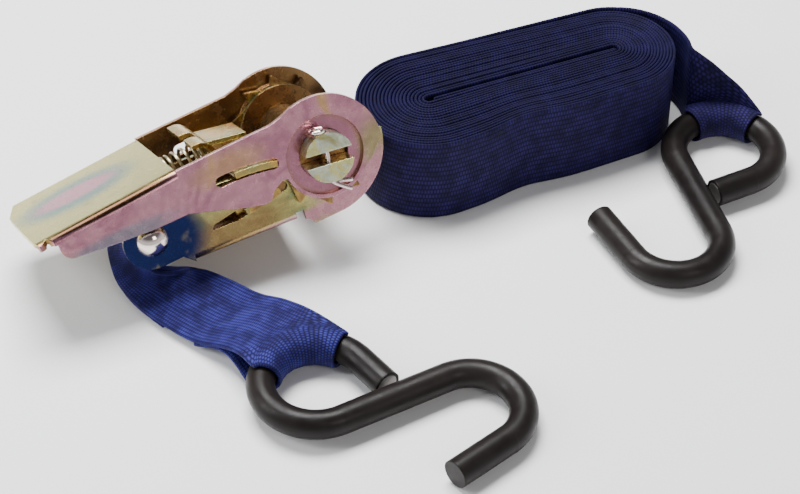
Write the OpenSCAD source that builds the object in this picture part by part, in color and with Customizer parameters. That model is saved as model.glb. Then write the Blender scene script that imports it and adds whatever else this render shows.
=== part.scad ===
// Ratchet tie-down for 25 mm webbing, in two parts: a stamped ratchet buckle whose short
// strap ends in an S-hook, and a long strap, wound into an oblong roll, with its own S-hook.
// All sizes are in millimetres.  The set lies on the plane z = 0.

/* [Webbing] */
// Width of the webbing
web_w = 25; // [24:0.5:25]
// Thickness of one layer of webbing
web_t = 1.2; // [1:0.1:1.3]

/* [Ratchet frame] */
// Clear width between the two frame plates
frame_gap = 25.6; // [25.5:0.1:25.8]
// Sheet thickness of the frame
frame_t = 1.1; // [1:0.05:1.1]
// Radius of the frame plates' round head
frame_head_r = 17.2; // [16.5:0.1:17.5]
// Radius of the frame plates' round tail
frame_tail_r = 7.4; // [7:0.1:7.6]
// Distance from the spindle back to the tail bolt
bolt_x = 47.5; // [47:0.5:48]
// Drop from the spindle to the tail bolt
bolt_z = 1.8; // [1.5:0.1:2]

/* [Handle] */
// Width across the two handle arms
handle_w = 36; // [36:0.1:36.4]
// Sheet thickness of the handle
handle_t = 1.2; // [1:0.1:1.2]
// Length of the handle behind the spindle
handle_len = 74.6; // [73:0.2:76]
// Height of the arms' upper edge above the spindle
arm_top = 13.2; // [13:0.1:13.4]
// Radius of the handle's round head
ear_r = 15.4; // [15:0.1:15.8]

/* [Spindle and ratchet wheels] */
// Radius of the round that the two half-moon shafts make together
spindle_r = 6.4; // [6.2:0.1:6.5]
// Gap between the half-moons, which takes the webbing
spindle_slot = 3.2; // [3:0.1:3.4]
// Length of the half-moon shafts
spindle_len = 42.8; // [42:0.2:44]
// Teeth on each ratchet wheel
wheel_teeth = 10; // [10:1:12]
// Tip radius of the ratchet wheels
wheel_tip_r = 13.8; // [13.4:0.1:13.9]
// Root radius of the ratchet wheels
wheel_root_r = 10.6; // [10.4:0.1:11]

/* [S-hooks] */
// Diameter of the steel wire
wire_d = 5.5; // [5:0.1:5.6]
// Thickness of the vinyl coating
coat_t = 0.8; // [0.6:0.05:0.9]
// Bend radius of the closed eye, to the middle of the wire
eye_r = 13.1; // [12.8:0.1:13.4]
// Bend radius of the open hook, to the middle of the wire
mouth_r = 12.1; // [11.8:0.1:12.4]
// Distance between the two bend centres
hook_pitch = 37.9; // [37:0.1:39]

/* [Roll of webbing] */
// Radius of the roll's left end
roll_left_r = 19.6; // [19:0.1:20]
// Radius of the roll's right end
roll_right_r = 17.2; // [17:0.1:17.4]

/* [Hidden] */
$fn = 96;

// Layout: where each group lies.  set_centre brings the set's box over the origin.
set_centre = [2.61, -7.31, 0];
ratchet_at = [-25.4, 16.3, 22.6];
ratchet_turn = [-24.5, -9, 29];
short_eye_at = [-20, -53.2, 5.2];
short_hook_turn = -11.9;
long_eye_at = [85.9, 32, 5];
long_hook_turn = -115.3;
hook_tilt = 1.35;

// Fits
run_gap = 0.06;      // running clearance on a radius
side_gap = 0.3;      // clearance between parts that pass each other
snug = 0.02;         // gap between parts that sit against each other

// Stack across the ratchet, measured out from its middle plane
plate_in = frame_gap / 2;
plate_out = plate_in + frame_t;
wheel_t = 1.2;
wheel_in = plate_out + side_gap;
wheel_out = wheel_in + wheel_t;
arm_out = handle_w / 2;
arm_in = arm_out - handle_t;
dish_in = wheel_out + side_gap;
dish_out = dish_in + handle_t;
dish_r = 10.2;
hub_r = dish_r + 1;
bend_r = 2.2;

// Pawls and their slots
pawl_clear_r = wheel_tip_r + side_gap;
lock_slot_from = [-31.3, -6.5];
lock_slot_to = [-12.2, -4.1];
lock_slot_w = 2.6;
lock_pawl_t = 1.8;
lock_angle = atan2(lock_slot_to[1] - lock_slot_from[1], lock_slot_to[0] - lock_slot_from[0]);
arc_r = 52;                        // the handle's slots are arcs of this radius
arc_at = [-26.6, -46.4];
arc_from = 75;
arc_to = 90.4;
release_slot_w = 2.8;
release_pawl_t = 1.6;
spring_z = 8.4;
spring_r = 3;
spring_wire_r = 0.4;
lock_spring_r = 2.6;

// Tail bolt
bolt_r = 2.5;
bolt_head_r = 4.1;
bolt_head_h = 2.4;
sleeve_r = 3.6;

// Hooks
wire_r = wire_d / 2;
rod_r = wire_r + coat_t;
shank_angle = asin((eye_r + mouth_r) / hook_pitch);
shank_len = sqrt(pow(hook_pitch, 2) - pow(eye_r + mouth_r, 2));
eye_end = 51;                      // angle where the eye's bend stops, in the hook's frame
return_len = 10.8;                 // straight end of the eye, up to the shank
mouth_start = -37;                 // angle where the open hook's bend starts
leg_len = 16.5;                    // straight leg that ends the open hook

// Roll of webbing: two round ends, and a waist pressed in on the near side
roll_left = [7.4, 29.6];
roll_right = [56.8, 50.9];
waist_at = [45, -7];
waist_r = 31;

steel = "#c9bd84";
bright_steel = "#d9d6c4";
webbing = "#2b2370";
vinyl = "#1d1d1f";

// ---------------------------------------------------------------- helpers

module at_ratchet() { translate(ratchet_at - set_centre) rotate(ratchet_turn) children(); }
module at_short_hook() {
    translate(short_eye_at - set_centre) rotate([0, 0, short_hook_turn])
        rotate([0, hook_tilt, 0]) children();
}
module at_long_hook() {
    translate(long_eye_at - set_centre) rotate([0, 0, long_hook_turn])
        rotate([0, hook_tilt, 0]) children();
}

// A flat outline drawn in x and z, standing between y and y + t
module upright(y, t) { translate([0, y + t, 0]) rotate([90, 0, 0]) linear_extrude(t) children(); }

// The same outline on both sides of the middle plane, between the distances a and b
module both_sides(a, b) {
    upright(a, b - a) children();
    upright(-b, b - a) children();
}

// A round bar across the ratchet, from y0 to y1
module cross_bar(r, y0, y1) {
    translate([0, y0, 0]) rotate([-90, 0, 0]) cylinder(r = r, h = y1 - y0);
}

function on_circle(r, a) = [r * cos(a), r * sin(a)];

// A straight slot with round ends
module slot_outline(from, to, w) {
    length = norm(to - from);
    translate(from) rotate(atan2(to[1] - from[1], to[0] - from[0])) {
        circle(d = w);
        translate([0, -w / 2]) square([length, w]);
        translate([length, 0]) circle(d = w);
    }
}

// A piece of a ring between two angles
module ring_sector(r_in, r_out, a0, a1) {
    far = 2 * r_out;
    mid = (a0 + a1) / 2;
    intersection() {
        difference() {
            circle(r = r_out, $fn = 240);
            circle(r = r_in, $fn = 240);
        }
        polygon([[0, 0], on_circle(far, a0), on_circle(far, mid), on_circle(far, a1)]);
    }
}

// A round section swept along an arc about z, from angle a0 through sweep
module bent_bar(r_bend, r, a0, sweep) {
    rotate([0, 0, a0]) rotate_extrude(angle = sweep, $fn = 120)
        translate([r_bend, 0]) circle(r = r, $fn = 48);
}

// A straight round bar in the hook's plane, from a point in a direction.  It is a hair
// thicker than the bends, and runs a little way into the ones at its start and its end.
module straight_bar(p, a, length, r, into_start, into_end) {
    translate([p[0], p[1], 0]) rotate([0, 0, a]) rotate([0, 90, 0]) translate([0, 0, -into_start])
        cylinder(r = r + 0.03, h = length + into_start + into_end, $fn = 48);
}

// A helical spring along x, from x0 to x1, as one swept tube
module coil_spring(x0, x1, r, wire_r, turns) {
    sides = 6;
    steps = turns * 14;
    points = [
        for (i = [0:steps], k = [0:sides - 1])
            let (
                turn = 360 * turns * i / steps,
                out = r + wire_r * cos(360 * k / sides),
                along = x0 + (x1 - x0) * i / steps + wire_r * sin(360 * k / sides)
            ) [along, out * cos(turn), out * sin(turn)]
    ];
    walls = [
        for (i = [0:steps - 1], k = [0:sides - 1])
            let (n = (k + 1) % sides)
                [i * sides + k, (i + 1) * sides + k, (i + 1) * sides + n, i * sides + n]
    ];
    first = [for (k = [0:sides - 1]) k];
    last = [for (k = [sides - 1:-1:0]) steps * sides + k];
    polyhedron(points, concat(walls, [first, last]), convexity = 10);
}

// A turn about one axis, as a matrix
function turn_x(a) = [[1, 0, 0], [0, cos(a), -sin(a)], [0, sin(a), cos(a)]];
function turn_y(a) = [[cos(a), 0, sin(a)], [0, 1, 0], [-sin(a), 0, cos(a)]];
function turn_z(a) = [[cos(a), -sin(a), 0], [sin(a), cos(a), 0], [0, 0, 1]];

// A point of the ratchet, in the set's layout
ratchet_matrix = turn_z(ratchet_turn[2]) * turn_y(ratchet_turn[1]) * turn_x(ratchet_turn[0]);
function from_ratchet(p) = ratchet_at + ratchet_matrix * p;

// Webbing is a grid of points: one row of them across the strap for each station along it.
// Every point also carries the thickness of the strap there, as its fourth number.
across = 8;

// A straight row between two edge points
function straight_row(a, b, t) = [
    for (j = [0:across]) let (p = a + (b - a) * j / across) [p[0], p[1], p[2], t]
];

// A row straight across between the frame plates, at a place seen from the ratchet's side
function ratchet_row(x, z, t) = straight_row(from_ratchet([x, -web_w / 2, z]),
    from_ratchet([x, web_w / 2, z]), t);

// A row on the sewn loop round the tail bolt's sleeve, at an angle seen from the side
function bolt_row(a, r, t) = [
    for (j = [0:across])
        let (p = from_ratchet([-bolt_x + r * cos(a), web_w * (j / across - 0.5),
            -bolt_z + r * sin(a)])) [p[0], p[1], p[2], t]
];

// A row on the loop round a hook's eye: from one plan angle to another, at an angle
// round the bar that starts on its outer side and goes up and over
function eye_row(eye, turn, from, to, a, r, t) = [
    for (j = [0:across])
        let (
            plan = from + (to - from) * j / across - turn,
            out = eye_r + r * cos(a),
            p = eye + turn_z(turn) * turn_y(hook_tilt)
                * [out * cos(plan), out * sin(plan), r * sin(a)]
        ) [p[0], p[1], p[2], t]
];

// Rows between the given ones, on a smooth curve through them
function smooth_rows(rows, steps) = [
    for (i = [0:len(rows) - 2], k = [0:steps - 1])
        let (
            w = k / steps,
            p0 = rows[max(i - 1, 0)], p1 = rows[i],
            p2 = rows[i + 1], p3 = rows[min(i + 2, len(rows) - 1)]
        ) 0.5 * (2 * p1 + w * (p2 - p0) + w * w * (2 * p0 - 5 * p1 + 4 * p2 - p3)
            + w * w * w * (3 * p1 - p0 - 3 * p2 + p3)),
    rows[len(rows) - 1]
];

function place(q) = [q[0], q[1], q[2]];

// The direction across the strap's thickness at one point of the grid
function row_normal(rows, i, j) =
    let (
        last = len(rows) - 1,
        along = place(rows[min(i + 1, last)][j]) - place(rows[max(i - 1, 0)][j]),
        over = place(rows[i][min(j + 1, across)]) - place(rows[i][max(j - 1, 0)]),
        n = cross(along, over)
    ) n / norm(n);

// The solid strap whose middle surface is the grid
module webbing_strap(rows) {
    n = len(rows);
    m = across + 1;
    points = [
        for (side = [-0.5, 0.5], i = [0:n - 1], j = [0:across])
            place(rows[i][j]) + side * rows[i][j][3] * row_normal(rows, i, j)
    ];
    faces = [
        for (i = [0:n - 2], j = [0:across - 1])
            let (a = i * m + j, b = a + m, top = n * m)
                each [
                    [a, b, b + 1], [a, b + 1, a + 1],
                    [a + top, b + 1 + top, b + top], [a + top, a + 1 + top, b + 1 + top]
                ],
        for (i = [0:n - 2], j = [0, across])
            let (a = i * m + j, b = a + m, top = n * m)
                each j == 0
                    ? [[a, a + top, b + top], [a, b + top, b]]
                    : [[a, b + top, a + top], [a, b, b + top]],
        for (i = [0, n - 1], j = [0:across - 1])
            let (a = i * m + j, b = a + 1, top = n * m)
                each i == 0
                    ? [[a, b + top, a + top], [a, b, b + top]]
                    : [[a, a + top, b + top], [a, b + top, b]]
    ];
    translate(-set_centre) polyhedron(points, faces, convexity = 10);
}

// ---------------------------------------------------------------- frame

// One frame plate seen from the side: tail, slotted middle and round head with its horn
module frame_plate_outline() {
    difference() {
        union() {
            translate([-bolt_x, -bolt_z]) circle(r = frame_tail_r);
            polygon([
                [-bolt_x, -bolt_z + frame_tail_r], [-bolt_x, -bolt_z - frame_tail_r],
                [-42, -9.2], [-39.4, -11.9], [-11.5, -14.3], [-8.7, -15.2], [-7.7, -17],
                [0, -frame_head_r], [0, 0], [0, 11.4], [-8, 8.2], [-10.6, 4.6], [-13.6, 2.2],
                [-22, 3.4], [-27, 4], [-40, 4.6]
            ]);
            circle(r = 11.4);
            intersection() {
                circle(r = frame_head_r);
                polygon([[0, 0], [11.2, 2.2], [15.2, -0.9], [20, -2.4], [20, -20], [-1, -20]]);
            }
        }
        circle(r = spindle_r + run_gap);
        translate([-bolt_x, -bolt_z]) circle(r = bolt_r + snug);
        slot_outline(lock_slot_from, lock_slot_to, lock_slot_w);
    }
}

// The floor of the frame, with its bends, before its ends are cut
module frame_channel() {
    depth = 6;
    translate([-39.4, 0, -11.9]) rotate([0, 5, 0]) rotate([90, 0, 90])
        linear_extrude(30) difference() {
            union() {
                translate([-plate_out, bend_r]) square([2 * plate_out, depth - bend_r]);
                translate([-plate_out + bend_r, 0]) square([2 * (plate_out - bend_r), bend_r]);
                for (s = [-1, 1]) translate([s * (plate_out - bend_r), bend_r]) circle(r = bend_r);
            }
            translate([-plate_in, bend_r]) square([2 * plate_in, depth]);
            translate([-plate_out + bend_r, frame_t])
                square([2 * (plate_out - bend_r), bend_r]);
            for (s = [-1, 1]) translate([s * (plate_out - bend_r), bend_r])
                circle(r = bend_r - frame_t);
        }
}

module frame() {
    color(steel) at_ratchet() {
        difference() {
            both_sides(plate_in, plate_out) frame_plate_outline();
            // the plates end where the bends of the floor begin
            translate([-39.4, -30, -11.9]) rotate([0, 5, 0]) translate([0, 0, -8])
                cube([30, 60, 8 + bend_r]);
        }
        difference() {
            frame_channel();
            translate([-11.5, -30, -30]) cube([40, 60, 60]);
        }
        // tab turned up from the floor, which the lock spring pushes against
        translate([-39, -4.5, -12]) cube([frame_t, 9, 8.6]);
    }
}

// ---------------------------------------------------------------- tail bolt

module tail_bolt() {
    dome_r = (pow(bolt_head_r, 2) + pow(bolt_head_h, 2)) / (2 * bolt_head_h);
    color(bright_steel) at_ratchet() translate([-bolt_x, 0, -bolt_z]) {
        cross_bar(bolt_r, -plate_out - 0.4, plate_out + 3);
        intersection() {
            translate([0, -plate_out - snug - bolt_head_h + dome_r, 0]) sphere(r = dome_r);
            cross_bar(bolt_head_r + 1, -plate_out - 5, -plate_out - snug);
        }
    }
}

module tail_nut() {
    color(bright_steel) at_ratchet() translate([-bolt_x, plate_out + snug, -bolt_z])
        rotate([-90, 0, 0]) difference() {
            cylinder(r = 4.5, h = 2.4, $fn = 6);
            translate([0, 0, -1]) cylinder(r = bolt_r + snug, h = 5);
        }
}

module tail_sleeve() {
    color(bright_steel) at_ratchet() translate([-bolt_x, 0, -bolt_z]) difference() {
        cross_bar(sleeve_r, -plate_in + snug, plate_in - snug);
        cross_bar(bolt_r + snug, -plate_out, plate_out);
    }
}

// ---------------------------------------------------------------- handle

// One arm of the handle seen from the side, with its cam-shaped ear
module arm_outline() {
    difference() {
        union() {
            polygon([
                [-66, 4.4], [-56, 3.1], [-46, 2], [-37.4, 1.8], [-30, -0.9], [-23, -3.6],
                [-18.4, -4.9], [-16.9, -4.6], [-15.4, -2.6], [-12.6, -1.2], [-8, -2],
                [0, 0], [0, 14], [-4, 15], [-7, 13.9], [-10.4, arm_top], [-36, arm_top],
                [-69.4, 11.7], [-69.4, 7.8]
            ]);
            translate([-66, 7.8]) circle(r = 3.4);
            circle(r = hub_r);
            intersection() {
                circle(r = ear_r);
                polygon([[-5, -8], [5.6, -9.8], [11.4, -5.9], [14.4, -2.8], [20, -1], [20, 20],
                    [-5, 20]]);
            }
        }
        release_slot();
    }
}

// The curved slot that the release pawl's ears slide in
module release_slot() {
    half = release_slot_w / 2;
    translate(arc_at) {
        ring_sector(arc_r - half, arc_r + half, arc_from, arc_to);
        for (a = [arc_from, arc_to]) translate(on_circle(arc_r, a)) circle(r = half);
    }
}

// The grip: a channel that falls away towards the tip, open below
module grip_channel() {
    depth = 14;
    slope = 2.5;
    translate([-36.3, 0, arm_top]) rotate([0, -slope, 0]) translate([-40, 0, -depth])
        rotate([90, 0, 90]) linear_extrude(40) difference() {
            union() {
                translate([-arm_out, 0]) square([2 * arm_out, depth - bend_r]);
                translate([-arm_out + bend_r, depth - bend_r])
                    square([2 * (arm_out - bend_r), bend_r]);
                for (s = [-1, 1]) translate([s * (arm_out - bend_r), depth - bend_r])
                    circle(r = bend_r);
            }
            translate([-arm_in, -1]) square([2 * arm_in, depth - bend_r + 1]);
            translate([-arm_out + bend_r, depth - bend_r - 1])
                square([2 * (arm_out - bend_r), bend_r - handle_t + 1]);
            for (s = [-1, 1]) translate([s * (arm_out - bend_r), depth - bend_r])
                circle(r = bend_r - handle_t);
        }
}

// Side view of the grip: the arms' outline, and the top sheet out to the tip
module grip_side_outline() {
    intersection() {
        union() {
            arm_outline();
            polygon([[-36.3, 9], [-36.3, 16], [-80, 16], [-80, 9.4], [-69.4, 9.4]]);
        }
        translate([-80, -10]) square([43.7, 30]);
    }
}

// Plan view of the grip, with the chamfered far corner and the notched near one
module grip_plan_outline() {
    polygon([
        [-36.3, -arm_out - 1], [-69.8, -arm_out - 1], [-70.4, -arm_out + 0.8],
        [-71.4, -arm_out + 1.6], [-72.6, -arm_out + 0.8], [-73.6, -arm_out + 0.4],
        [-handle_len + 0.2, -15], [-handle_len, -4], [-handle_len, 8.6], [-71, arm_out],
        [-70, arm_out + 1], [-36.3, arm_out + 1]
    ]);
}

module handle() {
    color(steel) at_ratchet() difference() {
        union() {
            intersection() {
                grip_channel();
                upright(-arm_out - 1, 2 * arm_out + 2) grip_side_outline();
                translate([0, 0, -20]) linear_extrude(60) grip_plan_outline();
            }
            both_sides(arm_in, arm_out) intersection() {
                arm_outline();
                translate([-36.3, -20]) square([60, 40]);
            }
            both_sides(dish_in, arm_out) circle(r = hub_r);
            // tongue turned down from the grip, which the release spring pushes against
            translate([-37.4, -4, 4.8]) cube([handle_t, 8, 8]);
        }
        both_sides(dish_out, arm_out + 1) circle(r = dish_r);
        cross_bar(spindle_r + run_gap, -arm_out - 1, arm_out + 1);
    }
}

// ---------------------------------------------------------------- pawls and springs

// Release pawl: a curved blade with an ear in each handle slot and a finger tab
module release_pawl() {
    half = release_pawl_t / 2;
    ear_out = arm_out + side_gap;
    tab_x = -24.6;      // back face of the tab
    tab_t = 1.2;
    tab_from = -9;      // near edge of the tab
    tab_w = 21;
    foot_z = 4.6;
    curl_z = 10;        // height where the tab starts to curl back
    curl_r = 4;
    lip = 1.2;
    notch_w = 4.4;
    color(steel) at_ratchet() {
        difference() {
            upright(-ear_out, 2 * ear_out) translate(arc_at)
                ring_sector(arc_r - half, arc_r + half, arc_from - 1.1, 86.2);
            cross_bar(pawl_clear_r, -dish_in + snug, dish_in - snug);
        }
        difference() {
            upright(tab_from, tab_w) {
                translate([tab_x, foot_z]) square([tab_t, curl_z - foot_z]);
                translate([tab_x + tab_t - curl_r, curl_z]) intersection() {
                    difference() {
                        circle(r = curl_r);
                        circle(r = curl_r - tab_t);
                    }
                    square([curl_r, curl_r]);
                }
                translate([tab_x + tab_t - curl_r - lip, curl_z + curl_r - tab_t])
                    square([lip, tab_t]);
            }
            translate([tab_x - 5, -notch_w / 2, curl_z + 1.4]) cube([notch_w, notch_w, curl_r + 2]);
        }
        // tongue that runs on over the blade, towards the spindle
        upright(-4, 11) polygon([
            [tab_x + 0.6, 10.4], [-13.8, 8.4], [-13.5, 9.5], [tab_x + 0.9, 11.6]
        ]);
    }
}

module release_spring() {
    color(bright_steel) at_ratchet() {
        translate([0, 0, spring_z]) coil_spring(-35.6, -25, spring_r, spring_wire_r, 6);
    }
}

// Lock pawl: a flat blade with an ear in each frame slot
module lock_pawl() {
    half = lock_pawl_t / 2;
    blade_from = 6.2;       // back edge, along the slot from its rear end
    ear_from = 8;
    blade_len = 14;
    color(steel) at_ratchet() difference() {
        upright(-wheel_out, 2 * wheel_out)
            translate(lock_slot_from) rotate(lock_angle)
                translate([blade_from, -half]) square([blade_len, lock_pawl_t]);
        cross_bar(pawl_clear_r, -20, 20);
        // outside the frame plates the blade stops short, so it stays in its slots
        both_sides(plate_in - 1, 20) translate(lock_slot_from) rotate(lock_angle)
            translate([0, -4]) square([ear_from, 8]);
    }
}

module lock_spring() {
    color(bright_steel) at_ratchet()
        translate([lock_slot_from[0], 0, lock_slot_from[1]]) rotate([0, -lock_angle, 0])
            coil_spring(-6.2, 5.6, lock_spring_r, spring_wire_r, 6);
}

// ---------------------------------------------------------------- spindle

spindle_angle = -10;

module half_moon(side) {
    y_end = spindle_len / 2;
    pin_y = y_end - 2.1;
    color(steel) at_ratchet() rotate([0, -spindle_angle, 0]) difference() {
        upright(-y_end, 2 * y_end) intersection() {
            circle(r = spindle_r);
            translate([-10, side > 0 ? spindle_slot / 2 : -10]) square([20, 10 - spindle_slot / 2]);
        }
        for (s = [-1, 1]) translate([0, s * pin_y, -10]) cylinder(r = 1, h = 20);
    }
}
module spindle_upper_half() { half_moon(1); }
module spindle_lower_half() { half_moon(-1); }

// Ratchet wheel: steep tooth faces one way, ramps the other, on two half-moon holes
module wheel_outline() {
    pitch = 360 / wheel_teeth;
    steep = 4.5;
    difference() {
        polygon([
            for (i = [0:wheel_teeth - 1])
                let (a = 81 + i * pitch)
                    each [
                        on_circle(wheel_root_r, a - pitch + steep),
                        on_circle(wheel_root_r + 0.5, a - pitch + steep + 7),
                        on_circle(wheel_tip_r, a - 1.6),
                        on_circle(wheel_tip_r, a)
                    ]
        ]);
        rotate(spindle_angle) difference() {
            circle(r = spindle_r + snug);
            translate([-10, -spindle_slot / 2 + snug]) square([20, spindle_slot - 2 * snug]);
        }
    }
}
module ratchet_wheel_near() {
    color(steel) at_ratchet() upright(-wheel_out, wheel_t) wheel_outline();
}
module ratchet_wheel_far() {
    color(steel) at_ratchet() upright(wheel_in, wheel_t) wheel_outline();
}

// Split pin: a shank across both half-moons, its eye bent over and its legs turned forward
module split_pin(side) {
    pin_r = 0.95;
    eye_bend_r = 1.6;
    leg_r = 0.55;
    pin_y = side * (spindle_len / 2 - 2.1);
    color(bright_steel) at_ratchet() rotate([0, -spindle_angle, 0]) translate([0, pin_y, 0]) {
        translate([0, 0, -spindle_r - 1]) cylinder(r = pin_r, h = 2 * spindle_r + 1.6, $fn = 32);
        translate([-eye_bend_r, side * 0.9, spindle_r + 0.7]) rotate_extrude($fn = 48)
            translate([eye_bend_r, 0]) circle(r = leg_r, $fn = 16);
        for (a = [98, 122]) translate([0, 0, -spindle_r - 0.6])
            rotate([0, a, 0]) cylinder(r = leg_r, h = 5.6, $fn = 24);
    }
}
module split_pin_near() { split_pin(-1); }
module split_pin_far() { split_pin(1); }

// ---------------------------------------------------------------- S-hooks

// The hook lies in its own x-y plane: eye about the origin, open hook about [pitch, 0].
// The inner tangent joins the two bends.  r is the bar's radius.
module s_hook(r, leg, back) {
    tangent = 90 - shank_angle;
    eye_meets = -tangent;
    mouth_meets = 180 - tangent;
    lap = 0.4;
    bent_bar(eye_r, r, eye_end, 360 + eye_meets - eye_end);
    straight_bar(on_circle(eye_r, eye_meets), shank_angle, shank_len, r, lap, lap);
    translate([hook_pitch, 0, 0]) bent_bar(mouth_r, r, mouth_start, mouth_meets - mouth_start);
    straight_bar([hook_pitch, 0] + on_circle(mouth_r, mouth_start), mouth_start - 90, leg, r,
        lap, 0);
    straight_bar(on_circle(eye_r, eye_end), eye_end - 90, back, r, lap, 0);
}

module hook_wire() { s_hook(wire_r, leg_len - coat_t, return_len); }
module hook_coating() {
    difference() {
        s_hook(rod_r, leg_len, return_len);
        s_hook(wire_r + snug, leg_len - coat_t + snug, return_len + 0.2);
    }
}
module short_hook_wire() { color("silver") at_short_hook() hook_wire(); }
module short_hook_coating() { color(vinyl) at_short_hook() hook_coating(); }
module long_hook_wire() { color("silver") at_long_hook() hook_wire(); }
module long_hook_coating() { color(vinyl) at_long_hook() hook_coating(); }

// ---------------------------------------------------------------- short strap

// The strap is sewn back on itself, so it is two layers thick between its loops
sewn_t = 2 * web_t;
bolt_loop_r = sleeve_r + 0.1 + web_t / 2;
eye_loop_r = rod_r + 0.3 + web_t / 2;

short_rows = concat(
    [for (a = [-120:20:180]) bolt_row(a, bolt_loop_r, web_t)],
    [
        ratchet_row(-51.95, -4.2, web_t),
        ratchet_row(-52.2, -6.2, 1.8),
        straight_row([-60.6, -19.4, 10.9], [-73.6, -4.8, 3.1], sewn_t),
        straight_row([-56, -17.2, 8], [-71, -15, 2], sewn_t),
        straight_row([-50, -14.8, 6.4], [-66.2, -22.8, 2], sewn_t),
        straight_row([-42.4, -17.4, 4.6], [-58.6, -30.4, 1.9], sewn_t),
        straight_row([-34.6, -22.4, 4.4], [-50.4, -36.8, 2.2], sewn_t),
        straight_row([-27.6, -27.4, 7], [-42.4, -42.4, 5.6], sewn_t),
        straight_row([-20.8, -33, 9.3], [-38.4, -46.8, 8.5], 1.3)
    ],
    [for (a = [62:20:302]) eye_row(short_eye_at, short_hook_turn, 62, 174, a, eye_loop_r, web_t)],
    [eye_row(short_eye_at, short_hook_turn, 66, 170, 312, eye_loop_r + 1, web_t)]
);

module short_strap() { color(webbing) webbing_strap(smooth_rows(short_rows, 2)); }

// ---------------------------------------------------------------- long strap

module roll_outline() {
    along = roll_right - roll_left;
    side = [-along[1], along[0]] / norm(along);
    difference() {
        union() {
            translate(roll_left) circle(r = roll_left_r);
            translate(roll_right) circle(r = roll_right_r);
            polygon([
                roll_left + side * roll_left_r, roll_left - side * roll_left_r,
                roll_right - side * roll_right_r, roll_right + side * roll_right_r
            ]);
        }
        translate(waist_at) circle(r = waist_r, $fn = 180);
    }
}

module long_strap_roll() {
    color(webbing) translate(-set_centre) linear_extrude(web_w) roll_outline();
}

// An upright row of the strap's outer end, beside the roll, at a plan angle and a radius
function upright_row(a, r) =
    let (p = roll_right + on_circle(r, a))
        straight_row([p[0], p[1], web_w - 0.1], [p[0], p[1], 0.1], web_t);

// The strap's outer end goes round the roll's right end, then down to the hook's eye
long_rows = concat(
    [for (a = [80:-10:0]) upright_row(a, roll_right_r + 0.8 + (80 - a) / 28)],
    [
        straight_row([79.6, 49.6, 24], [77.4, 48.4, 0.8], web_t),
        straight_row([83.2, 48.6, 21.6], [77.6, 48, 1.6], web_t),
        straight_row([87.4, 48, 17.8], [77.8, 48.2, 3.4], 1.6),
        straight_row([92, 47.4, 13.4], [77.4, 48.4, 6.6], sewn_t)
    ],
    [for (a = [62:20:302]) eye_row(long_eye_at, long_hook_turn, 44, 128, a, eye_loop_r, web_t)],
    [eye_row(long_eye_at, long_hook_turn, 48, 126, 312, eye_loop_r + 1, web_t)]
);

module long_strap_end() { color(webbing) webbing_strap(smooth_rows(long_rows, 2)); }

frame();
tail_bolt();
tail_nut();
tail_sleeve();
handle();
release_pawl();
release_spring();
lock_pawl();
lock_spring();
spindle_upper_half();
spindle_lower_half();
ratchet_wheel_near();
ratchet_wheel_far();
split_pin_near();
split_pin_far();
short_strap();
short_hook_wire();
short_hook_coating();
long_strap_roll();
long_strap_end();
long_hook_wire();
long_hook_coating();
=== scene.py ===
"""Looks of the ratchet tie-down: plated steel, vinyl-coated hooks and woven webbing."""

import math

import bpy
import numpy as np
from mathutils import Euler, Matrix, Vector


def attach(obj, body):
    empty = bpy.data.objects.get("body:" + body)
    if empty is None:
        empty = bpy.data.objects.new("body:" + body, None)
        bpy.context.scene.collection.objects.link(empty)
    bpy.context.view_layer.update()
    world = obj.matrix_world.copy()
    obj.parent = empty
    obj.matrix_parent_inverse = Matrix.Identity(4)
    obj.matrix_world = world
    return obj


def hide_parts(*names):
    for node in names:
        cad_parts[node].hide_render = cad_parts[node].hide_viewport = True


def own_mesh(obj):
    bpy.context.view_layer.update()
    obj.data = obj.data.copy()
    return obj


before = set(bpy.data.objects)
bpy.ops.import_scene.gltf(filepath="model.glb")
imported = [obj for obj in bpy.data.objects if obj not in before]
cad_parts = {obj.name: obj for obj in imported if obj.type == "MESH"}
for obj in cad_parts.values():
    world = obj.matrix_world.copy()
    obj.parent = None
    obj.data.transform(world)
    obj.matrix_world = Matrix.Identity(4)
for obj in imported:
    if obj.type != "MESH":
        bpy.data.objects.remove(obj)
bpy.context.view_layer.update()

# ---------------------------------------------------------------- sizes, in metres

MM = 0.001
SET_CENTRE = np.array([2.61, -7.31, 0.0]) * MM
RATCHET_AT = np.array([-25.4, 16.3, 22.6]) * MM - SET_CENTRE
RATCHET_TURN = Euler([math.radians(a) for a in (-24.5, -9.0, 29.0)])
RATCHET_AXES = np.array(RATCHET_TURN.to_matrix())

WEB_WIDTH = 0.025
SHORT_WEB = 1.15 * MM
LONG_WEB = 0.74 * MM
LAYER_PITCH = 0.838 * MM
BOLT = np.array([-47.5, 0.0, -1.8]) * MM
SLEEVE_R = 3.7 * MM
EYE_R = 13.1 * MM
ROD_R = 3.55 * MM
LOOP_GAP = 0.3 * MM
HOOK_TILT = math.radians(1.35)
SHORT_EYE = np.array([-20.0, -53.2, 5.2]) * MM - SET_CENTRE
LONG_EYE = np.array([85.9, 32.0, 5.0]) * MM - SET_CENTRE
SHORT_HOOK_TURN = math.radians(-11.9)
LONG_HOOK_TURN = math.radians(-115.3)

ROLL_LEFT = np.array([7.4, 29.6]) * MM - SET_CENTRE[:2]
ROLL_RIGHT = np.array([56.8, 50.9]) * MM - SET_CENTRE[:2]
ROLL_LEFT_R = 19.6 * MM
ROLL_RIGHT_R = 17.2 * MM
WAIST_AT = 20.7 * MM
WAIST_DEPTH = 1.9 * MM
WAIST_SPREAD = 9.0 * MM

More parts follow.
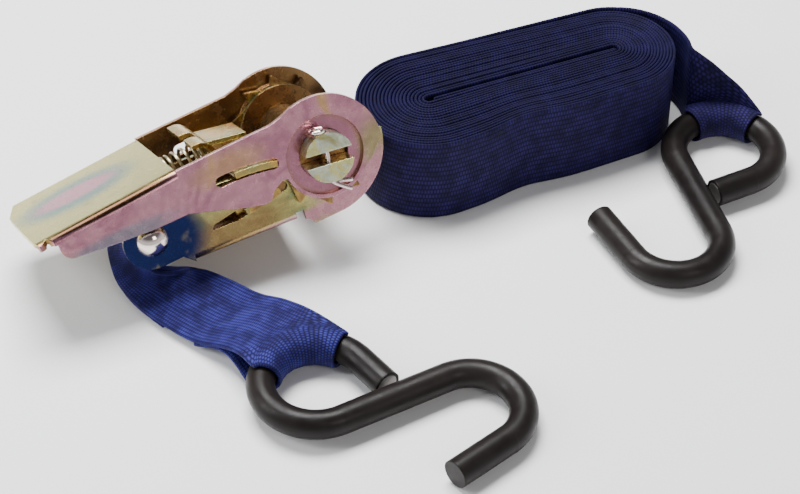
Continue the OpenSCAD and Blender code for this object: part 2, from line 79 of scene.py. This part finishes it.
# The wound strap. Its turns are counted from the middle of the roll's right end.
ROLL_START = 0.08
ROLL_TURNS = 18.985
ROLL_SETTLE = 0.2                  # turns that the outer end takes to lie flat
ROLL_STEP = 1.5 * MM               # length of strap between two rows
ROLL_FOOT = 0.1 * MM               # height of its lower edge over the floor
CORE_TURN = 0.46 * MM              # how far the last turn swings out before it doubles back
CORE_ROWS = 34
ROLL_SEED = 7

SPINDLE_SLOPE = math.radians(-10.0)
PIN_Y = 19.3 * MM

# ---------------------------------------------------------------- small helpers


def mm(*values):
    """A point or a length list given in millimetres."""
    return np.array(values, float) * MM


def placed(*values):
    """A point of the set's layout, given in millimetres before the set was centred."""
    return mm(*values) - SET_CENTRE


def from_ratchet(point):
    """A point of the ratchet, moved to where the ratchet lies."""
    return RATCHET_AT + RATCHET_AXES @ np.asarray(point, float)


def turn_about_z(angle):
    """The matrix that turns a vector about +Z."""
    c, s = math.cos(angle), math.sin(angle)
    return np.array([[c, -s, 0.0], [s, c, 0.0], [0.0, 0.0, 1.0]])


def hook_axes(turn):
    """The axes of a hook that lies turned by that much and tilted by its webbing."""
    c, s = math.cos(HOOK_TILT), math.sin(HOOK_TILT)
    tilt = np.array([[c, 0.0, s], [0.0, 1.0, 0.0], [-s, 0.0, c]])
    return turn_about_z(turn) @ tilt


def mesh_object(name, vertices, faces, material, uvs=None, smooth=True):
    """A mesh object in the row frame. uvs holds one pair for each vertex."""
    mesh = bpy.data.meshes.new(name)
    mesh.from_pydata([tuple(v) for v in vertices], [], [tuple(f) for f in faces])
    if uvs is not None:
        layer = mesh.uv_layers.new(name="weave")
        corner_vertex = np.empty(len(mesh.loops), int)
        mesh.loops.foreach_get("vertex_index", corner_vertex)
        layer.data.foreach_set("uv", np.asarray(uvs, float)[corner_vertex].ravel())
    mesh.polygons.foreach_set("use_smooth", [smooth] * len(mesh.polygons))
    mesh.materials.append(material)
    mesh.update()
    obj = bpy.data.objects.new(name, mesh)
    bpy.context.scene.collection.objects.link(obj)
    return obj


def smooth_line(keys, steps):
    """Points or rows on a smooth curve through the keys (Catmull-Rom)."""
    keys = [np.asarray(k, float) for k in keys]
    last = len(keys) - 1
    out = []
    for i in range(last):
        p0, p1, p2, p3 = keys[max(i - 1, 0)], keys[i], keys[i + 1], keys[min(i + 2, last)]
        for w in np.arange(steps) / steps:
            out.append(
                0.5
                * (
                    2 * p1
                    + w * (p2 - p0)
                    + w**2 * (2 * p0 - 5 * p1 + 4 * p2 - p3)
                    + w**3 * (3 * p1 - p0 - 3 * p2 + p3)
                )
            )
    out.append(keys[last])
    return np.array(out)


def tube_mesh(points, radius, sides):
    """Vertices and faces of a round tube along a line of points, closed at its ends."""
    points = np.asarray(points, float)
    along = np.gradient(points, axis=0)
    along /= np.linalg.norm(along, axis=1)[:, None]
    side = np.cross(along[0], [0.31, 0.52, 0.79])
    vertices = []
    for p, t in zip(points, along):
        side = side - t * (side @ t)
        side /= np.linalg.norm(side)
        up = np.cross(t, side)
        for k in range(sides):
            a = 2 * math.pi * k / sides
            vertices.append(p + radius * (math.cos(a) * side + math.sin(a) * up))
    n = len(points)
    faces = [list(range(sides))[::-1], [(n - 1) * sides + k for k in range(sides)]]
    for i in range(n - 1):
        for k in range(sides):
            m = (k + 1) % sides
            faces.append([i * sides + k, i * sides + m, (i + 1) * sides + m, (i + 1) * sides + k])
    return vertices, faces


def joined(parts):
    """Vertices and faces of several meshes as one."""
    vertices, faces = [], []
    for part_vertices, part_faces in parts:
        start = len(vertices)
        vertices += list(part_vertices)
        faces += [[start + i for i in f] for f in part_faces]
    return vertices, faces


# ---------------------------------------------------------------- shader helpers


class Shader:
    """A material under construction, with short calls for its nodes."""

    def __init__(self, name):
        self.material = bpy.data.materials.new(name)
        self.material.use_nodes = True
        self.tree = self.material.node_tree
        self.surface = self.tree.nodes["Principled BSDF"]

    def node(self, kind, **inputs):
        """A node of that kind, with values or other nodes' sockets on its inputs."""
        node = self.tree.nodes.new(kind)
        for key, value in inputs.items():
            self.put(node.inputs[key.replace("_", " ")], value)
        return node

    def put(self, socket, value):
        """Sets a socket to a plain value, or links it to another socket."""
        if isinstance(value, bpy.types.NodeSocket):
            self.tree.links.new(value, socket)
        else:
            socket.default_value = value

    def math(self, operation, a, b=0.0, clamp=False):
        node = self.tree.nodes.new("ShaderNodeMath")
        node.operation = operation
        node.use_clamp = clamp
        self.put(node.inputs[0], a)
        self.put(node.inputs[1], b)
        return node.outputs[0]

    def object_place(self):
        return self.tree.nodes.new("ShaderNodeTexCoord").outputs["Object"]

    def ratchet_place(self):
        """The shading point in the ratchet's own axes, in millimetres."""
        node = self.tree.nodes.new("ShaderNodeMapping")
        node.vector_type = "TEXTURE"
        self.put(node.inputs["Vector"], self.object_place())
        node.inputs["Location"].default_value = tuple(RATCHET_AT)
        node.inputs["Rotation"].default_value = tuple(RATCHET_TURN)
        node.inputs["Scale"].default_value = (MM, MM, MM)
        return node.outputs["Vector"]

    def noise(self, place, scale, detail=4.0, roughness=0.55, distortion=0.0):
        node = self.node("ShaderNodeTexNoise", Vector=place, Scale=scale, Detail=detail,
                         Roughness=roughness, Distortion=distortion)
        return node.outputs["Fac"]

    def ramp(self, value, stops):
        """A colour ramp: stops are (position, colour)."""
        node = self.node("ShaderNodeValToRGB", Fac=value)
        elements = node.color_ramp.elements
        while len(elements) < len(stops):
            elements.new(0.5)
        for element, (position, colour) in zip(elements, stops):
            element.position = position
            element.color = (*colour, 1.0)
        return node.outputs["Color"]

    def spread(self, value, low, high, to_low=0.0, to_high=1.0):
        node = self.node("ShaderNodeMapRange", Value=value)
        node.interpolation_type = "SMOOTHSTEP"
        for key, number in (("From Min", low), ("From Max", high), ("To Min", to_low), ("To Max", to_high)):
            self.put(node.inputs[key], number)
        return node.outputs["Result"]

    def mix(self, factor, a, b, blend="MIX"):
        node = self.tree.nodes.new("ShaderNodeMix")
        node.data_type = "RGBA"
        node.blend_type = blend
        self.put(node.inputs["Factor"], factor)
        for socket, value in ((node.inputs[6], a), (node.inputs[7], b)):
            self.put(socket, (*value, 1.0) if isinstance(value, tuple) else value)
        return node.outputs[2]

    def patch(self, place, centre, stretch, edge):
        """1 inside an ellipsoid round centre, 0 outside it, with a soft edge."""
        shift = self.tree.nodes.new("ShaderNodeMapping")
        shift.vector_type = "TEXTURE"
        self.put(shift.inputs["Vector"], place)
        shift.inputs["Location"].default_value = centre
        shift.inputs["Scale"].default_value = stretch
        length = self.tree.nodes.new("ShaderNodeVectorMath")
        length.operation = "LENGTH"
        self.put(length.inputs[0], shift.outputs["Vector"])
        return self.spread(length.outputs["Value"], 1.0 - edge, 1.0 + edge, 1.0, 0.0)

    def bump(self, height, distance, strength=1.0, normal=None):
        node = self.node("ShaderNodeBump", Height=height, Distance=distance, Strength=strength)
        if normal is not None:
            self.put(node.inputs["Normal"], normal)
        return node.outputs["Normal"]

    def soft_edges(self, radius):
        """A normal that rounds sharp edges."""
        return self.node("ShaderNodeBevel", Radius=radius).outputs["Normal"]

    def finish(self, **inputs):
        for key, value in inputs.items():
            self.put(self.surface.inputs[key.replace("_", " ")], value)
        return self.material


# ---------------------------------------------------------------- materials

MAUVE = (0.42, 0.18, 0.24)
PINK = (0.58, 0.27, 0.33)
GOLD = (0.56, 0.36, 0.10)
OLIVE = (0.34, 0.31, 0.12)
PALE = (0.60, 0.55, 0.20)
GREEN = (0.20, 0.32, 0.16)
TEAL = (0.08, 0.24, 0.28)
NAVY = (0.014, 0.022, 0.09)
BRONZE = (0.30, 0.17, 0.07)
UMBER = (0.06, 0.03, 0.016)
SILVER = (0.56, 0.60, 0.48)


def plated(name, stops, patches=(), roughness=0.3, scale=0.06):
    """Passivated zinc plate: a drifting film of colours, with patches of colour, of painted shade and of
    painted reflection, and soft edges.
    """
    s = Shader(name)
    place = s.ratchet_place()
    film = s.noise(place, scale, detail=3.0, distortion=0.8)
    colour = s.ramp(film, stops)
    for centre, stretch, edge, tint, weight in patches:
        uneven = s.noise(place, 0.16, detail=3.0)
        inside = s.patch(place, centre, stretch, edge)
        factor = s.math("MULTIPLY", s.math("MULTIPLY", inside, weight), s.spread(uneven, 0.1, 0.4), True)
        colour = s.mix(factor, colour, tint)
    cloud = s.spread(s.noise(place, 0.5, detail=4.0), 0.3, 0.7)
    veil = s.ramp(cloud, [(0.0, (0.90, 0.90, 0.90)), (1.0, (1.0, 1.0, 1.0))])
    colour = s.mix(1.0, colour, veil, "MULTIPLY")
    shine = s.spread(cloud, 0.0, 1.0, roughness - 0.03, roughness + 0.04)
    normal = s.bump(s.noise(place, 0.12, detail=1.0), 0.05 * MM, 0.3, s.soft_edges(0.28 * MM))
    return s.finish(Base_Color=colour, Metallic=0.95, Roughness=shine, Normal=normal)


def handle_plate():
    stops = [(0.30, MAUVE), (0.44, PINK), (0.54, MAUVE), (0.62, PINK), (0.72, GOLD)]
    patches = [
        # Painted shade: bronze-brown on every face inside |y| < 17.3 mm, the enclosed middle of the
        # ratchet.
        ((0.0, 0.0, 0.0), (2000.0, 17.3, 2000.0), 0.025, BRONZE, 1.0),
        ((0.0, -17.0, 0.0), (10.4, 0.5, 10.4), 0.2, MAUVE, 1.0),
        ((-60.0, 0.0, 12.5), (60.0, 17.2, 5.0), 0.08, PALE, 1.0),
        ((-58.0, 2.0, 12.5), (15.0, 8.5, 4.0), 0.35, TEAL, 0.8),
        ((-58.0, 2.6, 12.5), (11.0, 4.4, 4.0), 0.35, PINK, 1.0),
        # Painted reflection: a dark umber line along the bend between the grip's top web and its near arm.
        ((-56.0, -17.3, 12.0), (21.0, 0.85, 1.6), 0.2, UMBER, 1.0),
        ((-24.0, -18.0, 8.5), (9.0, 3.0, 3.6), 0.5, GOLD, 0.5),
        ((-56.0, -18.0, 3.5), (15.0, 3.0, 2.6), 0.4, TEAL, 0.5),
        ((14.0, -18.0, -4.0), (5.0, 3.0, 7.0), 0.5, OLIVE, 0.8),
    ]
    return plated("handle_plate", stops, patches, 0.24)


def frame_plate():
    stops = [(0.30, OLIVE), (0.44, PALE), (0.54, OLIVE), (0.62, GREEN), (0.72, GOLD)]
    patches = [
        ((-28.0, 0.0, -9.0), (14.0, 60.0, 6.0), 0.5, BRONZE, 0.8),
        ((-47.0, 0.0, -3.0), (13.0, 60.0, 12.0), 0.25, NAVY, 1.0),
        ((8.0, 0.0, -13.0), (13.0, 60.0, 9.0), 0.4, PINK, 0.95),
        ((-20.0, 0.0, -14.8), (28.0, 60.0, 2.2), 0.35, PINK, 0.95),
        # Painted shade: bronze-brown on every face inside |y| < 13.1 mm, between the frame plates.
        ((0.0, 0.0, 0.0), (2000.0, 13.1, 2000.0), 0.02, BRONZE, 1.0),
    ]
    return plated("frame_plate", stops, patches, 0.26)


def pawl_plate():
    stops = [(0.32, BRONZE), (0.46, GOLD), (0.58, OLIVE), (0.70, BRONZE)]
    return plated("pawl_plate", stops, (), 0.26, 0.1)


def wheel_plate():
    stops = [(0.32, UMBER), (0.50, BRONZE), (0.60, GOLD), (0.72, BRONZE)]
    return plated("wheel_plate", stops, (), 0.28, 0.12)


def spindle_plate():
    stops = [(0.30, SILVER), (0.45, PALE), (0.56, SILVER), (0.70, OLIVE)]
    # Painted shade: bronze-brown on the part of the spindle inside the ratchet; its ends keep the film
    # colours.
    patches = [((0.0, 0.0, 0.0), (9.0, 20.4, 9.0), 0.04, BRONZE, 0.9)]
    return plated("spindle_plate", stops, patches, 0.26, 0.16)


def bright_steel():
    s = Shader("bright_steel")
    place = s.object_place()
    tint = s.ramp(s.noise(place, 120.0), [(0.35, (0.80, 0.62, 0.62)), (0.65, (0.82, 0.76, 0.66))])
    normal = s.bump(s.noise(place, 900.0), 0.01 * MM, 0.4, s.soft_edges(0.2 * MM))
    return s.finish(Base_Color=tint, Metallic=1.0, Roughness=0.14, Normal=normal)


def spring_steel():
    s = Shader("spring_steel")
    tint = s.ramp(s.noise(s.object_place(), 700.0), [(0.3, (0.42, 0.36, 0.24)), (0.7, (0.72, 0.64, 0.46))])
    return s.finish(Base_Color=tint, Metallic=1.0, Roughness=0.3)


def hook_wire_steel():
    s = Shader("hook_wire")
    place = s.object_place()
    normal = s.bump(s.noise(place, 2500.0), 0.03 * MM, 0.8, s.soft_edges(0.25 * MM))
    return s.finish(Base_Color=(0.42, 0.40, 0.38, 1.0), Metallic=1.0, Roughness=0.42, Normal=normal)


def hook_vinyl():
    s = Shader("hook_vinyl")
    place = s.object_place()
    dents = s.math("ADD", s.math("MULTIPLY", s.noise(place, 90.0, detail=2.0), 1.0),
                   s.math("MULTIPLY", s.noise(place, 1400.0, detail=3.0), 0.10))
    normal = s.bump(dents, 0.25 * MM, 0.35, s.soft_edges(0.6 * MM))
    shine = s.spread(s.noise(place, 260.0, detail=5.0), 0.35, 0.7, 0.30, 0.46)
    tint = s.ramp(s.noise(place, 60.0), [(0.35, (0.008, 0.006, 0.006)), (0.7, (0.015, 0.012, 0.011))])
    return s.finish(Base_Color=tint, Roughness=shine, Specular_IOR_Level=0.14, Normal=normal)


def webbing(name, dark, light, rib):
    """Woven polyester: ribs across and floats along. Its UVs are metres."""
    s = Shader(name)
    uv = s.node("ShaderNodeSeparateXYZ", Vector=s.node("ShaderNodeUVMap").outputs["UV"])
    across, along = uv.outputs["X"], uv.outputs["Y"]
    wobble = s.noise(s.object_place(), 450.0, detail=2.0)
    column = s.math("ADD", s.math("MULTIPLY", across, 1.0 / (1.9 * rib)), s.math("MULTIPLY", wobble, 0.10))
    row = s.math("ADD", s.math("MULTIPLY", along, 1.0 / rib), s.math("MULTIPLY", wobble, 0.25))
    half = s.math("MULTIPLY", s.math("MODULO", s.math("FLOOR", column), 2.0), 0.5)
    floats = s.math("ABSOLUTE", s.math("SINE", s.math("MULTIPLY", s.math("ADD", row, half), math.pi)))
    cords = s.math("ABSOLUTE", s.math("SINE", s.math("MULTIPLY", column, math.pi)))
    weave = s.math("MULTIPLY", s.math("POWER", floats, 0.6), s.math("POWER", cords, 0.5))
    fuzz = s.noise(s.object_place(), 6000.0, detail=2.0)
    height = s.math("ADD", weave, s.math("MULTIPLY", fuzz, 0.18))
    uneven = s.noise(s.object_place(), 260.0, detail=4.0)
    level = s.math("MULTIPLY", weave, s.spread(uneven, 0.25, 0.75, 0.45, 1.15))
    tint = s.ramp(level, [(0.10, tuple(0.35 * c for c in dark)), (0.45, dark), (0.95, light)])
    normal = s.bump(height, 0.16 * MM, 0.75)
    return s.finish(Base_Color=tint, Roughness=0.7, Specular_IOR_Level=0.12, Normal=normal,
                    Sheen_Weight=0.04, Sheen_Roughness=0.4, Sheen_Tint=(0.25, 0.28, 0.9, 1.0))


HANDLE_PLATE = handle_plate()
FRAME_PLATE = frame_plate()
PAWL_PLATE = pawl_plate()
WHEEL_PLATE = wheel_plate()
SPINDLE_PLATE = spindle_plate()
BRIGHT_STEEL = bright_steel()
SPRING_STEEL = spring_steel()
HOOK_WIRE = hook_wire_steel()
HOOK_VINYL = hook_vinyl()
# The short strap's finer rib is its own weave; its lighter, bluer colours than the long strap's are painted
# light, for the light its loop catches.
LIT_SHORT_WEBBING = webbing("lit_short_webbing", (0.012, 0.010, 0.075), (0.034, 0.036, 0.24), 0.62 * MM)
LONG_WEBBING = webbing("long_webbing", (0.006, 0.004, 0.034), (0.020, 0.012, 0.090), 0.8 * MM)

NODE_MATERIALS = {
    "frame": FRAME_PLATE,
    "tail_bolt": BRIGHT_STEEL,
    "tail_nut": BRIGHT_STEEL,
    "tail_sleeve": BRIGHT_STEEL,
    "handle": HANDLE_PLATE,
    "release_pawl": PAWL_PLATE,
    "lock_pawl": PAWL_PLATE,
    "spindle_upper_half": SPINDLE_PLATE,
    "spindle_lower_half": SPINDLE_PLATE,
    "ratchet_wheel_near": WHEEL_PLATE,
    "ratchet_wheel_far": WHEEL_PLATE,
    "short_hook_wire": HOOK_WIRE,
    "short_hook_coating": HOOK_VINYL,
    "long_hook_wire": HOOK_WIRE,
    "long_hook_coating": HOOK_VINYL,
}
for node_name, material in NODE_MATERIALS.items():
    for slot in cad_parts[node_name].material_slots:
        slot.material = material

# ---------------------------------------------------------------- webbing

# Places across the strap, closer together at its rounded edges
ACROSS = np.array([0.0, 0.008, 0.03, 0.12, 0.27, 0.42, 0.58, 0.73, 0.88, 0.97, 0.992, 1.0])
EDGE_ROUND = np.interp(np.abs(ACROSS - 0.5), [0.0, 0.47, 0.492, 0.5], [1.0, 1.0, 0.82, 0.4])


def straight_row(a, b):
    """A straight row of points across the strap, between two edge points."""
    return a + (b - a) * ACROSS[:, None]


def edge_rows(pairs):
    """Straight rows, from pairs of edge points in the set's layout."""
    return [straight_row(placed(*near), placed(*far)) for near, far in pairs]


def upright_row(place, height, lift=0.0):
    """A row that stands on its edge at a place in plan."""
    foot = np.array([*place, ROLL_FOOT + lift])
    return straight_row(foot + mm(0, 0, height), foot)


def bolt_row(angle, radius):
    """A row on the sewn loop round the tail bolt."""
    a = math.radians(angle)
    ends = [
        from_ratchet(BOLT + np.array([radius * math.cos(a), side * WEB_WIDTH / 2, radius * math.sin(a)]))
        for side in (-1, 1)
    ]
    return straight_row(*ends)


def eye_row(eye, turn, start, stop, angle, radius):
    """A row on the sewn loop round a hook's eye, between two plan angles."""
    a = math.radians(angle)
    plan = np.radians(start + (stop - start) * ACROSS) - turn
    out = EYE_R + radius * math.cos(a)
    local = np.stack([out * np.cos(plan), out * np.sin(plan), np.full_like(plan, radius * math.sin(a))], 1)
    return eye + local @ hook_axes(turn).T


def row_normals(rows):
    """Unit vectors through the strap's thickness at every point of its rows."""
    n = np.cross(np.gradient(rows, axis=0), np.gradient(rows, axis=1))
    return n / np.linalg.norm(n, axis=2)[:, :, None]


def ribbon(name, rows, thickness, material):
    """A solid strap round the surface that the rows make. Its UVs are metres."""
    n, m = rows.shape[:2]
    half = 0.5 * np.broadcast_to(thickness, n)[:, None, None] * EDGE_ROUND[None, :, None]
    normal = row_normals(rows)
    ring = np.concatenate([rows + half * normal, (rows - half * normal)[:, ::-1]], axis=1)
    middle = rows[:, m // 2]
    length = np.concatenate([[0.0], np.cumsum(np.linalg.norm(np.diff(middle, axis=0), axis=1))])
    u = np.concatenate([ACROSS, ACROSS[::-1]]) * WEB_WIDTH
    uvs = np.stack(np.broadcast_arrays(u[None, :], length[:, None]), axis=2)
    k = 2 * m
    i, j = np.meshgrid(np.arange(n - 1), np.arange(k), indexing="ij")
    after = (j + 1) % k
    walls = np.stack([i * k + j, (i + 1) * k + j, (i + 1) * k + after, i * k + after], axis=2)
    faces = walls.reshape(-1, 4).tolist() + [list(range(k)), list(range((n - 1) * k, n * k))[::-1]]
    obj = mesh_object(name, ring.reshape(-1, 3), faces, material, uvs.reshape(-1, 2))
    return obj, float(length[-1])


def shifted(rows, distance):
    """The rows moved through the strap's thickness."""
    rows = np.asarray(rows)
    return rows + distance * row_normals(rows)


def short_strap_rows():
    """One strip: along the lower side to the bolt, round it, back on top, round the eye, under."""
    middle = np.array(edge_rows([
        ((-60.6, -19.4, 10.9), (-73.6, -4.8, 3.1)),
        ((-56.0, -17.2, 8.0), (-71.0, -15.0, 2.0)),
        ((-50.0, -14.8, 6.4), (-66.2, -22.8, 2.0)),
        ((-42.4, -17.4, 4.6), (-58.6, -30.4, 1.9)),
        ((-34.6, -22.4, 4.4), (-50.4, -36.8, 2.2)),
        ((-27.6, -27.4, 7.0), (-42.4, -42.4, 5.6)),
    ]))
    upper = shifted(middle, -0.53 * SHORT_WEB)
    lower = shifted(middle, 0.53 * SHORT_WEB)
    bolt_r = SLEEVE_R + 0.55 * SHORT_WEB
    eye_r = ROD_R + LOOP_GAP + 0.5 * SHORT_WEB
    bolt_loop = [bolt_row(a, bolt_r) for a in range(-140, 181, 20)]
    behind = [bolt_row(205, 1.12 * bolt_r)]
    rise = edge_rows([((-20.8, -33.0, 9.3), (-38.4, -46.8, 8.5))])
    eye_loop = [eye_row(SHORT_EYE, SHORT_HOOK_TURN, 62, 174, a, eye_r) for a in range(62, 303, 20)]
    tail = [lower[5] + mm(0, 0, -0.4)]
    return [*lower[3::-1], *bolt_loop, *behind, *upper, *rise, *eye_loop, *tail, lower[4]]


def make_short_strap():
    rows = smooth_line(short_strap_rows(), 5)
    strap, length = ribbon("short_strap_webbing", rows, SHORT_WEB, LIT_SHORT_WEBBING)
    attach(strap, "anchor_strap")
    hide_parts("short_strap")


def roll_axes():
    """The roll's length, and unit vectors along it and towards its far side."""
    along = ROLL_RIGHT - ROLL_LEFT
    span = np.linalg.norm(along)
    along = along / span
    return span, along, np.array([-along[1], along[0]])


def stadium_point(phase, depth):
    """A point of the roll's plan: phase counts turns from the right end's middle, leftwards
    along the far side. depth is how far inside the roll's outline the layer lies."""
    span, along, over = roll_axes()
    right_r = ROLL_RIGHT_R - depth
    left_r = ROLL_LEFT_R - depth * ROLL_LEFT_R / ROLL_RIGHT_R
    right_arc, left_arc = math.pi * right_r, math.pi * left_r
    run = (phase % 1.0) * (right_arc + left_arc + 2 * span)
    if run < right_arc / 2:
        a = run / right_r
        return ROLL_RIGHT + right_r * (math.cos(a) * along + math.sin(a) * over)
    run -= right_arc / 2
    if run < span:
        w = run / span
        return ROLL_RIGHT + (ROLL_LEFT - ROLL_RIGHT) * w + over * (right_r + (left_r - right_r) * w)
    run -= span
    if run < left_arc:
        a = math.pi / 2 + run / left_r
        return ROLL_LEFT + left_r * (math.cos(a) * along + math.sin(a) * over)
    run -= left_arc
    if run < span:
        w = run / span
        from_waist = (run - WAIST_AT) / WAIST_SPREAD
        dent = WAIST_DEPTH * right_r / ROLL_RIGHT_R * math.exp(-(from_waist**2))
        return ROLL_LEFT + along * run - over * (left_r + (right_r - left_r) * w - dent)
    a = -math.pi / 2 + (run - span) / right_r
    return ROLL_RIGHT + right_r * (math.cos(a) * along + math.sin(a) * over)


def drifting(rng, low, high, per_turn, steps):
    """A random amount that changes smoothly along the roll, with per_turn values to a turn."""
    line = smooth_line(list(rng.uniform(low, high, int(ROLL_TURNS * per_turn) + 2)), steps)
    return lambda phase: line[int(phase * per_turn * steps)]


def roll_rows():
    """Upright rows along the wound strap, from its outer end to its end in the core."""
    rng = np.random.default_rng(ROLL_SEED)
    lift = drifting(rng, 0.0, 0.35, 3, 200)
    sway = drifting(rng, -0.03, 0.03, 5, 120)
    span, along, over = roll_axes()
    rows = []
    phase = ROLL_START
    while phase < ROLL_TURNS:
        wound = phase - ROLL_START
        settled = min(1.0, wound / ROLL_SETTLE)
        depth = LONG_WEB * (0.55 * settled - 1.0 * (1 - settled)) + LAYER_PITCH * wound
        ring = math.pi * (ROLL_LEFT_R + ROLL_RIGHT_R - 2 * depth) + 2 * span
        place = stadium_point(phase, depth + sway(phase) * MM)
        rows.append(upright_row(place, 24.75, lift(phase) * MM * settled))
        phase += ROLL_STEP / ring
    core = [ROLL_RIGHT + CORE_TURN * (along - over)]
    core += [ROLL_RIGHT + (ROLL_LEFT - ROLL_RIGHT) * w for w in np.linspace(0.0, 0.97, CORE_ROWS)]
    rows += [upright_row(place, 24.6) for place in core]
    return rows


def peel_row(angle):
    """A row of the outer end beside the roll's right end, further out the nearer it is to 0."""
    a = math.radians(angle)
    radius = ROLL_RIGHT_R + mm(0.8 + (80 - angle) / 28)
    return upright_row(ROLL_RIGHT + radius * np.array([math.cos(a), math.sin(a)]), 24.8)


def make_long_strap():
    eye_r = ROD_R + LOOP_GAP + 0.5 * SHORT_WEB
    peel = [peel_row(a) for a in range(80, -1, -10)]
    free = edge_rows([
        ((79.6, 49.6, 24.0), (77.4, 48.4, 0.8)),
        ((83.2, 48.6, 21.6), (77.6, 48.0, 1.6)),
        ((87.4, 48.0, 17.8), (77.8, 48.2, 3.4)),
        ((92.0, 47.4, 13.4), (77.4, 48.4, 6.6)),
    ])
    eye_loop = [eye_row(LONG_EYE, LONG_HOOK_TURN, 44, 128, a, eye_r) for a in range(62, 303, 20)]
    end_rows = smooth_line([*eye_loop[::-1], *free[::-1], *peel[::-1]], 6)
    rows = np.concatenate([end_rows[:-1], np.array(roll_rows())])
    strap, length = ribbon("long_strap_webbing", rows, LONG_WEB, LONG_WEBBING)
    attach(strap, "load_strap")
    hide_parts("long_strap_roll", "long_strap_end")


make_short_strap()
make_long_strap()

# ---------------------------------------------------------------- springs and split pins


def make_spring(name, node_name, body, start, stop, radius, wire, turns):
    """A coil spring between two points of the ratchet, with closed end turns."""
    start, stop = np.asarray(start, float), np.asarray(stop, float)
    axis = (stop - start) / np.linalg.norm(stop - start)
    side = np.array([0.0, 1.0, 0.0])
    up = np.cross(axis, side)
    steps = turns * 28
    points = []
    for i in range(steps + 1):
        w = i / steps
        eased = w - 0.06 * math.sin(2 * math.pi * w)
        a = 2 * math.pi * turns * w
        round_axis = radius * (math.cos(a) * side + math.sin(a) * up)
        points.append(from_ratchet(start + (stop - start) * eased + round_axis))
    spring = mesh_object(name, *tube_mesh(points, wire, 12), SPRING_STEEL)
    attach(spring, body)
    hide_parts(node_name)
    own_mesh(spring)


def make_split_pin(name, node_name, side):
    """A split pin: two half-round legs from an eye bent over the spindle, turned forward below."""
    slope = Euler((0.0, -SPINDLE_SLOPE, 0.0)).to_matrix()
    out = 0.9 * side
    parts = []
    for leg, (drop, reach) in ((1, (0.8, 5.4)), (-1, (2.9, 4.6))):
        eye = [
            (-3.3, out, 7.2), (-2.9, out + 1.1 * leg, 7.2), (-1.7, out + 1.6 * leg, 7.2),
            (-0.6, out + 1.2 * leg, 7.2), (-0.1, 0.5 * out + 0.5 * leg, 7.1),
        ]
        shank = [(0.0, 0.42 * leg, 6.3), (0.0, 0.42 * leg, 0.0), (0.0, 0.42 * leg, -6.3)]
        foot = [(0.3, 0.3 * leg, -7.0), (0.45 * reach, 0.3 * leg, -7.0 - 0.45 * drop),
                (reach, 0.3 * leg, -7.0 - drop)]
        points = [
            from_ratchet(np.array(slope @ Vector(p)) + np.array([0.0, side * PIN_Y, 0.0]))
            for p in smooth_line([mm(*p) for p in eye + shank + foot], 6)
        ]
        parts.append(tube_mesh(points, 0.55 * MM, 12))
    pin = mesh_object(name, *joined(parts), BRIGHT_STEEL)
    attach(pin, "winding_spindle")
    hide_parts(node_name)


make_spring("release_spring_coil", "release_spring", "handle_arm",
            mm(-35.6, 0, 8.4), mm(-25.0, 0, 8.4), 3.0 * MM, 0.42 * MM, 6)
make_spring("lock_spring_coil", "lock_spring", "buckle_frame",
            mm(-37.4, 0, -7.3), mm(-25.8, 0, -5.8), 2.6 * MM, 0.42 * MM, 6)
make_split_pin("split_pin_near_wire", "split_pin_near", -1)
make_split_pin("split_pin_far_wire", "split_pin_far", 1)

# ---------------------------------------------------------------- floor, light and camera


def make_floor():
    shade = Shader("floor")
    shade.finish(Base_Color=(0.93, 0.93, 0.93, 1.0), Roughness=0.9, Specular_IOR_Level=0.1)
    size = 4.0
    corners = [(-size, -size, 0), (size, -size, 0), (size, size, 0), (-size, size, 0)]
    mesh_object("floor", corners, [(0, 1, 2, 3)], shade.material, smooth=False)


def make_light(name, place, target, size, power, colour=(1.0, 1.0, 1.0)):
    light = bpy.data.lights.new(name, "AREA")
    light.shape = "RECTANGLE"
    light.size, light.size_y = size
    light.energy = power
    light.color = colour
    obj = bpy.data.objects.new(name, light)
    obj.location = place
    obj.rotation_euler = (Vector(target) - Vector(place)).to_track_quat("-Z", "Y").to_euler()
    bpy.context.scene.collection.objects.link(obj)


def make_world():
    """A studio that is bright low down, all round, and dim overhead."""
    world = bpy.data.worlds.new("studio")
    world.use_nodes = True
    tree = world.node_tree
    place = tree.nodes.new("ShaderNodeTexCoord")
    split = tree.nodes.new("ShaderNodeSeparateXYZ")
    ramp = tree.nodes.new("ShaderNodeValToRGB")
    tree.links.new(place.outputs["Generated"], split.inputs["Vector"])
    tree.links.new(split.outputs["Z"], ramp.inputs["Fac"])
    low, high = ramp.color_ramp.elements
    low.position, low.color = 0.22, (0.80, 0.81, 0.83, 1.0)
    high.position, high.color = 0.55, (0.13, 0.13, 0.14, 1.0)
    background = tree.nodes["Background"]
    tree.links.new(ramp.outputs["Color"], background.inputs["Color"])
    background.inputs["Strength"].default_value = 1.0
    bpy.context.scene.world = world


def make_camera():
    """The camera looks along +Y, 43 degrees down, through a long lens."""
    camera = bpy.data.cameras.new("camera")
    camera.lens = 100.0
    camera.sensor_width = 36.0
    camera.clip_start = 0.01
    obj = bpy.data.objects.new("camera", camera)
    obj.location = Vector((0.0, -0.4169, 0.3887)) - Vector(SET_CENTRE)
    obj.rotation_euler = (math.radians(47.0), 0.0, 0.0)
    bpy.context.scene.collection.objects.link(obj)
    bpy.context.scene.camera = obj


make_floor()
make_light("key", (-0.10, 0.22, 0.62), (0.0, 0.0, 0.02), (0.42, 0.30), 11.0)
make_light("side", (-0.50, -0.10, 0.35), (0.0, 0.0, 0.0), (0.12, 0.40), 2.2, (0.96, 0.98, 1.0))
make_light("front", (0.35, -0.45, 0.45), (0.0, 0.0, 0.0), (0.2, 0.2), 0.9, (1.0, 0.97, 0.94))
make_world()
make_camera()
